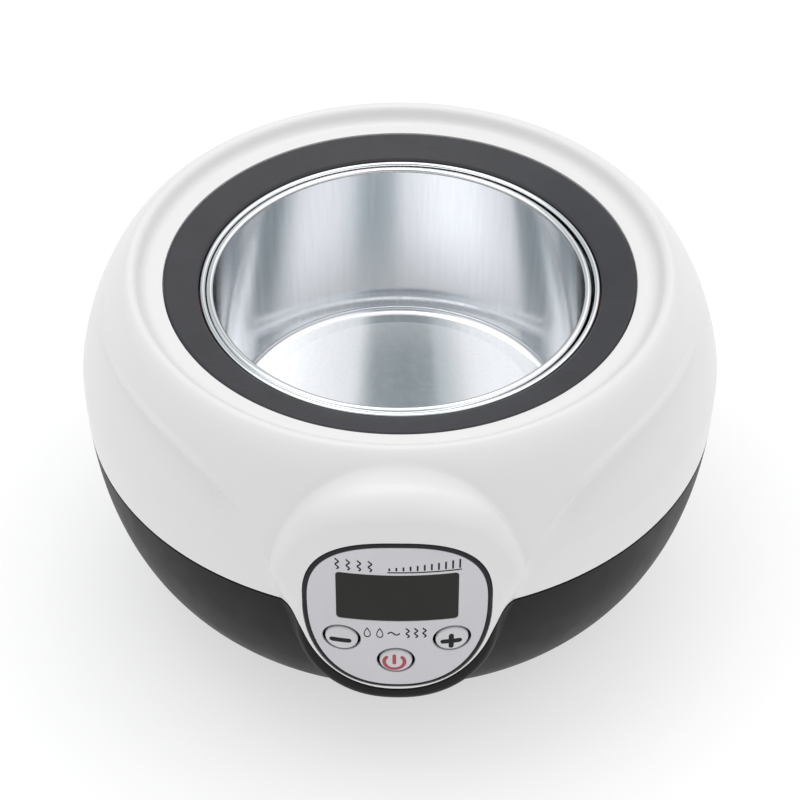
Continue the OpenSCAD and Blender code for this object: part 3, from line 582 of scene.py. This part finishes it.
def plate(name, loops, r_front, thick, bevel=0.12, step=1.2, depth=None, sharp=38, res=2):
    """a plate cut to the (x, z) loops of the front view, its edges rounded, its front on a cylinder of radius r_front about the body's axis"""
    cu = bpy.data.curves.new(name, "CURVE")
    cu.dimensions = "2D"
    cu.fill_mode = "BOTH"
    cu.extrude = max(thick / 2 - bevel, 0.001)
    cu.bevel_depth = bevel
    cu.bevel_resolution = res
    cu.offset = -bevel
    for lp in loops:
        sp = cu.splines.new("POLY")
        sp.points.add(len(lp) - 1)
        for p, (u, z) in zip(sp.points, lp):
            p.co = (u, z, 0, 1)
        sp.use_cyclic_u = True
    tmp = bpy.data.objects.new(name + "_tmp", cu)
    bpy.context.scene.collection.objects.link(tmp)
    bpy.context.view_layer.update()
    me = bpy.data.meshes.new_from_object(tmp.evaluated_get(bpy.context.evaluated_depsgraph_get()))
    bpy.data.objects.remove(tmp)
    bm = bmesh.new()
    bm.from_mesh(me)
    bmesh.ops.remove_doubles(bm, verts=bm.verts, dist=0.002)
    xs = [v.co.x for v in bm.verts]
    if step:
        x = (math.floor(min(xs) / step) + 1) * step
        while x < max(xs):
            bmesh.ops.bisect_plane(bm, geom=bm.verts[:] + bm.edges[:] + bm.faces[:], plane_co=(x, 0, 0), plane_no=(1, 0, 0), dist=1e-4)
            x += step
    for v in bm.verts:
        x, z, h = v.co
        r = r_front - thick / 2 + h
        y = -math.sqrt(max(1.0, r * r - x * x))
        if depth:
            y += depth(x, z)
        v.co = (x * MM, y * MM, z * MM)
    bmesh.ops.recalc_face_normals(bm, faces=bm.faces)
    bm.to_mesh(me)
    bm.free()
    me.shade_smooth()
    me.set_sharp_from_angle(angle=math.radians(sharp))
    me.name = name
    ob = bpy.data.objects.new(name, me)
    bpy.context.scene.collection.objects.link(ob)
    return ob


KEYS = {"minus": (-16.0, 57.2), "plus": (15.7, 57.2), "power": (-0.4, 49.0)}
KEY_R, KEY_GAP, OVAL = 4.7, 0.85, 0.93
face = plate("panel_face_skin", [outline(-0.05, -0.05, -0.05), rrect(0, WINDOW_Z, WINDOW_W, WINDOW_H, 1.2)] +
             [circle(x, z, KEY_R + KEY_GAP, 96) for x, z in KEYS.values()], PANEL_R - 0.05, 1.05, 0.1)
finish_piece(face, HOUSING, MAT["face"], ["panel_face"])
lens = plate("display_window_skin", [rrect(0, WINDOW_Z, WINDOW_W - 0.12, WINDOW_H - 0.12, 1.15)], PANEL_R - 0.2, 1.05, 0.08)
finish_piece(lens, HOUSING, MAT["lens"], ["display_window"])
trim = plate("panel_frame_skin", [outline(BORDER - 0.1, BORDER + 0.4, BORDER - 0.5), outline(0.05, 0.05, 0.05)], PANEL_R, 3.4, 0.22, res=3)
finish_piece(trim, HOUSING, MAT["border"], ["panel_frame"])
ledge = plate("panel_frame_ledge", [outline(0.3, 0.3, 0.3), outline(-1.2, -1.2, -1.2)], 99.44, 2.2, 0.1)
finish_piece(ledge, HOUSING, MAT["border"])

CAP_R = 101.04


def dome(cx, cz):
    return lambda x, z: 0.16 * ((x - cx) ** 2 + (z - cz) ** 2) / KEY_R**2


def turned(name, cx, cz, rings, depth, seg=128):
    """oval piece along Y: each ring is (radius, y offset, True on the curved front / False at a plain y)"""
    verts, idx = [], []
    for r, q, front in rings:
        row = []
        for k in range(1 if r == 0 else seg):
            a = 2 * math.pi * k / seg
            x, z = cx + r * math.cos(a), cz + OVAL * r * math.sin(a)
            y = -math.sqrt(CAP_R**2 - x * x) + depth(x, z) + q if front else q
            row.append(len(verts))
            verts.append((x, y, z))
        idx.append(row if r else row * seg)
    faces = []
    closed = rings[0][0] > 0
    for p, q in zip(idx if closed else idx[:-1], idx[1:] + idx[:1] if closed else idx[1:]):
        for k in range(seg):
            f = [p[k], p[(k + 1) % seg], q[(k + 1) % seg], q[k]]
            f = [v for m, v in enumerate(f) if v not in f[:m]]
            if len(f) > 2:
                faces.append(f)
    ob = new_mesh(name, verts, faces, None)
    bm = bmesh.new()
    bm.from_mesh(ob.data)
    bmesh.ops.recalc_face_normals(bm, faces=bm.faces)
    bm.to_mesh(ob.data)
    bm.free()
    ob.data.shade_smooth()
    ob.data.set_sharp_from_angle(angle=math.radians(40))
    return ob


def key_cap(name, cx, cz):
    """cap whose front follows the panel's curve with a slight crown and a rolled edge, its sides straight"""
    rings = [(0.0, 0.0, True)] + [(r, 0.0, True) for r in (1, 2, 3, 3.6)]
    rings += [(KEY_R - 0.6 + 0.6 * math.sin(a), 0.45 * (1 - math.cos(a)), True) for a in np.radians([0, 15, 30, 45, 60, 75, 90])]
    rings += [(KEY_R, 0.9, True), (KEY_R, -96.2, False), (0.0, -96.2, False)]
    return turned(name, cx, cz, rings, dome(cx, cz))


def key_gap_shade(name, cx, cz):
    """dark collar and flange seen only down in the gap round the cap: painted shade for that gap, the key's real flange
    being silver like its cap
    """
    r = KEY_R + 0.04
    return turned(name, cx, cz, [(r, 1.15, True), (r, -95.7, False), (KEY_R + KEY_GAP + 0.4, -95.7, False),
                                 (KEY_R + KEY_GAP + 0.4, -96.6, False), (r + 0.1, -96.6, False), (r + 0.1, 1.25, True)], dome(cx, cz))


for key, (kx, kz) in KEYS.items():
    cap = key_cap(key + "_button_skin", kx, kz)
    finish_piece(cap, key + "_key", MAT["key"], [key + "_button"])
    # each key gets a dark skirt as painted shade in the gap round its cap
    finish_piece(key_gap_shade(key + "_button_gap_shade", kx, kz), key + "_key", MAT["border"])


def mark(name, loops, body, mat, r=None, depth=None):
    ob = plate(name, loops, r or PANEL_R - 0.015, 0.06, 0.015, step=0.8, depth=depth, res=1, sharp=60)
    return finish_piece(ob, body, mat)


KEY_MARK = CAP_R + 0.04
mark("minus_mark", [stroke([(-18.7, 56.6), (-14.0, 56.6)], 0.86)], "minus_key", MAT["ink"], KEY_MARK, dome(*KEYS["minus"]))
plus = [(-2.45, 0.86), (-0.74, 0.86), (-0.74, 2.3), (-0.52, 2.8), (0, 3.0), (0.52, 2.8), (0.74, 2.3), (0.74, 0.86), (2.45, 0.86), (2.95, 0.6), (3.15, 0)]
plus += [(x, -z) for x, z in plus[::-1][1:]]
plus += [(-2.95, -0.6), (-3.15, 0), (-2.95, 0.6)]
mark("plus_mark", [[(15.5 + x, 56.55 + z) for x, z in plus]], "plus_key", MAT["ink"], KEY_MARK, dome(*KEYS["plus"]))
pc = (-0.85, 48.75)
mark("power_mark_ring", [stroke([(pc[0] + 2.95 * math.sin(a), pc[1] + 2.95 * math.cos(a)) for a in np.radians(np.arange(50, 311, 5))], 0.54)],
     "power_key", MAT["ink_red"], KEY_MARK, dome(*KEYS["power"]))
mark("power_mark_bar", [stroke([(pc[0], pc[1] - 0.5), (pc[0], pc[1] + 2.6)], 0.54)], "power_key", MAT["ink_red"],
     KEY_MARK, dome(*KEYS["power"]))


def drop(cx, cz, w, h):
    """outline of a falling drop, as two loops"""
    out = []
    for g in (1.0, 0.0):
        a = np.radians(np.arange(0, 360, 12))
        k = 0.36 * (1 - g)
        out.append([(cx + (w - k) * math.sin(t) * math.sin(t / 2) ** 1.1, cz - 0.35 * k + (h - 1.5 * k) * math.cos(t)) for t in a])
    return out


def wave(cx, cz, h, r=0.2, amp=0.4):
    """upright wavy stroke, the usual sign for rising heat"""
    return [stroke([(cx + amp * math.sin(a * 3.4 * math.pi), cz + h * (a - 0.5)) for a in np.linspace(0, 1, 34)], r, 4)]


def ink(name, loops):
    mark(name, loops, HOUSING, MAT["ink"])


# generic signs where the photo has its lettering: heat waves and a rising scale above the window, drops and waves below it
for k in range(4):
    ink(f"heat_wave_{k}", wave(-16.9 + 3.1 * k, 87.3, 3.9, 0.24, 0.42))
ink("scale_base", [stroke([(-2.6, 85.2), (18.0, 85.2)], 0.22, 4)])
for k in range(11):
    x = -2.2 + 1.98 * k
    ink(f"scale_bar_{k:02d}", [stroke([(x, 86.0), (x, 86.7 + 0.24 * k)], 0.26, 4)])
ink("wax_drop_0", drop(-8.6, 60.4, 1.35, 2.1))
ink("wax_drop_1", drop(-5.0, 60.4, 1.35, 2.1))
ink("level_wave", [stroke([(-2.6 + 3.2 * a, 60.2 + 0.55 * math.sin(a * 2 * math.pi)) for a in np.linspace(0, 1, 22)], 0.24, 4)])
for k in range(3):
    ink(f"small_wave_{k}", wave(3.0 + 2.4 * k, 60.4, 3.7, 0.24, 0.4))


# ---------------------------------------------------------------- back boss, gland, feet
def about_y(ob, z):
    """turns a piece lathed about Z so that its axis runs along +Y at height z"""
    ob.data.transform(Matrix.Translation((0, 0, z * MM)) @ Matrix.Rotation(-math.pi / 2, 4, "X"))
    return ob


GZ = 30.0
boss = about_y(lathe("gland_boss", fillet([(6.3, 80), (12.5, 80), (12.2, 88.6), (10.5, 90.6), (10.5, 94.0), (6.3, 94.0)], [0, 0, 1.5, 2.0, 0.7, 0.3], 6), 160), GZ)
finish_piece(boss, HOUSING, MAT["charcoal"])
gp = [(3.4, 76), (6.2, 76), (6.2, 94.05), (9, 94.05), (9, 96.4), (7.0, 96.45)]
for k in range(4):
    r0 = 6.9 - k * 0.42
    gp += [(r0, 96.7 + k * 1.05), (r0, 97.3 + k * 1.05), (r0 - 0.5, 97.42 + k * 1.05), (r0 - 0.5, 97.63 + k * 1.05)]
gp = gp[:-2] + [(5.2, 101.1), (3.4, 101.1)]
gland = about_y(lathe("cord_gland_skin", fillet(gp, [0, 0, 0, 0.4, 0.7] + [0.12] * (len(gp) - 7) + [0.4, 0.4], 3), 160), GZ)
finish_piece(gland, HOUSING, MAT["rubber"], ["cord_gland"])

feet = []
for k in range(4):
    a = math.radians(45 + 90 * k)
    f = lathe(f"rubber_foot_{k}", [(0, 0)] + fillet([(4.6, 0), (5.0, 0.35), (6.0, 0.0), (6.8, 0.6), (7.4, 3.95), (2.9, 3.95), (2.9, 6.6), (3.7, 6.6), (3.2, 8.3)],
                                                     [0.2, 0.2, 0.5, 0.8, 0.5, 0, 0, 0.2, 0.2], 4) + [(0, 8.3)], 96,
              (38 * math.cos(a), 38 * math.sin(a)))
    finish_piece(f, HOUSING, MAT["rubber"], ["rubber_feet"] if k == 0 else [])
    feet.append(f)

# ---------------------------------------------------------------- camera, floor and light
sc = bpy.context.scene
cam_data = bpy.data.cameras.new("camera")
cam_data.lens = 114.04
cam_data.sensor_width = 36
cam_data.clip_start = 0.01
cam = bpy.data.objects.new("camera", cam_data)
cam.location = (0.004665, -0.59403, 0.59539)
cam.rotation_euler = (math.radians(47.9494), 0, math.radians(0.45))
sc.collection.objects.link(cam)
sc.camera = cam

bm = bmesh.new()
bmesh.ops.create_grid(bm, x_segments=2, y_segments=2, size=3.0)
fm = bpy.data.meshes.new("floor")
bm.to_mesh(fm)
bm.free()
floor = bpy.data.objects.new("floor", fm)
sc.collection.objects.link(floor)
m, nt, b, tc = tree("floor")
nt.links.new(ramp(nt, noise(nt, tc.outputs["Object"], 3, 3), [(0.2, (0.42, 0.42, 0.42)), (0.8, (0.44, 0.44, 0.44))]), b.inputs["Base Color"])
b.inputs["Roughness"].default_value = 0.7
b.inputs["Emission Color"].default_value = (1, 1, 1, 1)
b.inputs["Emission Strength"].default_value = 0.58
fm.materials.append(m)

w = bpy.data.worlds.new("studio")
sc.world = w
w.use_nodes = True
wn = w.node_tree
bg = wn.nodes["Background"]
wt = wn.nodes.new("ShaderNodeTexCoord")
gr = wn.nodes.new("ShaderNodeTexGradient")
gr.gradient_type = "RADIAL"
wn.links.new(wt.outputs["Generated"], gr.inputs[0])
SKY = 1.7


def sky(v, cool=0.0):
    v = v / SKY
    return (v * (1 - 0.16 * cool), v * (1 - 0.03 * cool), v)


# round the horizon: a large soft source on each side, dimmer towards the camera and behind the object
around = ramp(wn, gr.outputs["Fac"], [
    (0.0, sky(1.15)), (0.06, sky(1.15)), (0.095, sky(1.1)), (0.12, sky(0.97)), (0.15, sky(0.74, 0.4)), (0.176, sky(0.62, 0.7)),
    (0.192, sky(0.38, 0.9)), (0.236, sky(0.34, 1)), (0.3, sky(0.38, 0.9)), (0.318, sky(0.64, 0.5)), (0.335, sky(0.98, 0.1)), (0.375, sky(1.06)),
    (0.43, sky(1.18)), (0.5, sky(1.4)), (0.556, sky(1.45)), (0.625, sky(1.4)), (0.7, sky(1.15)), (0.74, sky(1.0, 0.1)), (0.765, sky(0.72, 0.5)),
    (0.785, sky(0.56, 0.8)), (0.82, sky(0.5, 0.9)), (0.865, sky(0.53, 0.9)), (0.89, sky(0.75, 0.5)), (0.917, sky(0.94, 0.2)), (0.953, sky(1.1)),
    (1.0, sky(1.15))])
sep = wn.nodes.new("ShaderNodeSeparateXYZ")
wn.links.new(wt.outputs["Generated"], sep.inputs[0])


def sky_mix(a, colour, lo, hi):
    mr = maprange(wn, sep.outputs["Z"], 0.0, 1.0, lo, hi)
    mx = wn.nodes.new("ShaderNodeMix")
    mx.data_type = "RGBA"
    wn.links.new(mr, mx.inputs[0])
    wn.links.new(a, mx.inputs[6])
    mx.inputs[7].default_value = (*colour, 1)
    return mx.outputs[2]


top = sky_mix(around, sky(1.06), 0.80, 0.97)
low = sky_mix(top, sky(0.6), 0.62, 0.38)
wn.links.new(low, bg.inputs[0])
bg.inputs[1].default_value = SKY


def softbox(name, loc, target, sx, sy, power, color=(1, 1, 1)):
    ld = bpy.data.lights.new(name, "AREA")
    ld.shape = "RECTANGLE"
    ld.size, ld.size_y = sx, sy
    ld.energy = power
    ld.color = color
    ob = bpy.data.objects.new(name, ld)
    ob.location = loc
    ob.rotation_euler = (Vector(target) - Vector(loc)).to_track_quat("-Z", "Y").to_euler()
    sc.collection.objects.link(ob)
    return ob


softbox("top", (-0.2, 0.35, 1.6), (0, 0, 0.08), 1.4, 1.0, 7.0)
sc.view_settings.view_transform = "Standard"
sc.view_settings.look = "None"

bpy.context.view_layer.update()
